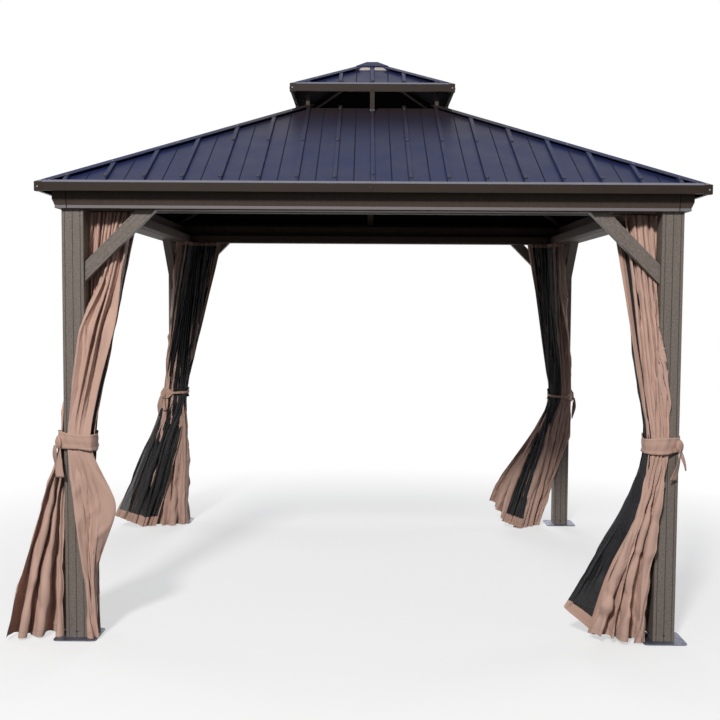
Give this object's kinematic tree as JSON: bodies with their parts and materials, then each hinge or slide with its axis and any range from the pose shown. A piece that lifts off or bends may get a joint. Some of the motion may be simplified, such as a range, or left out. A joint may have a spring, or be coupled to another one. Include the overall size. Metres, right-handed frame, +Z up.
{
  "type": "metal garden gazebo",
  "caption": "Square open metal gazebo with a vented double hip roof of ribbed sheet, knee-braced posts on base plates, and curtains and netting tied back at each post.",
  "frame": {"origin": "centre of the four posts' footprint, on the ground, at the undersides of the base plates", "axes": "+Z up; -Y is the front and +X is to the right when facing the front"},
  "size_m": [3.1651, 3.0042, 2.9299],
  "materials": {
    "frame": "hammered powder coat, satin",
    "trim": "smooth powder coat, satin",
    "roof": "smooth prepainted steel sheet, semi-gloss",
    "steel": "galvanized",
    "curtain": "plain woven polyester",
    "netting": "fine mesh netting"
  },
  "bodies": {
    "root": {"base_plates": "steel", "post_front_left": "frame", "post_front_right": "frame", "post_rear_left": "frame", "post_rear_right": "frame", "beam_front": "frame", "beam_rear": "frame", "beam_left": "frame", "beam_right": "frame", "beam_corners": "frame", "braces_front": "frame", "braces_rear": "frame", "braces_left": "frame", "braces_right": "frame", "curtain_rails": "frame", "hip_rafters": "frame", "mid_rafters": "frame", "purlins": "frame", "vent_frame": "frame", "roof_front": "roof", "roof_rear": "roof", "roof_left": "roof", "roof_right": "roof", "hip_caps": "roof", "eave_trims": "trim", "eave_corner_caps": "trim", "vent_struts": "frame", "vent_straps": "roof", "top_rafters": "frame", "top_roof_front": "roof", "top_roof_rear": "roof", "top_roof_left": "roof", "top_roof_right": "roof", "top_hip_caps": "roof", "top_trims": "trim", "top_corner_caps": "trim", "top_cap": "roof", "curtain_front_left": "curtain", "curtain_front_right": "curtain", "curtain_rear_left": "curtain", "curtain_rear_right": "curtain", "netting_front_left": "netting", "netting_front_right": "netting", "netting_rear_left": "netting", "netting_rear_right": "netting", "tie_bands": "curtain"}
  },
  "joints": []
}
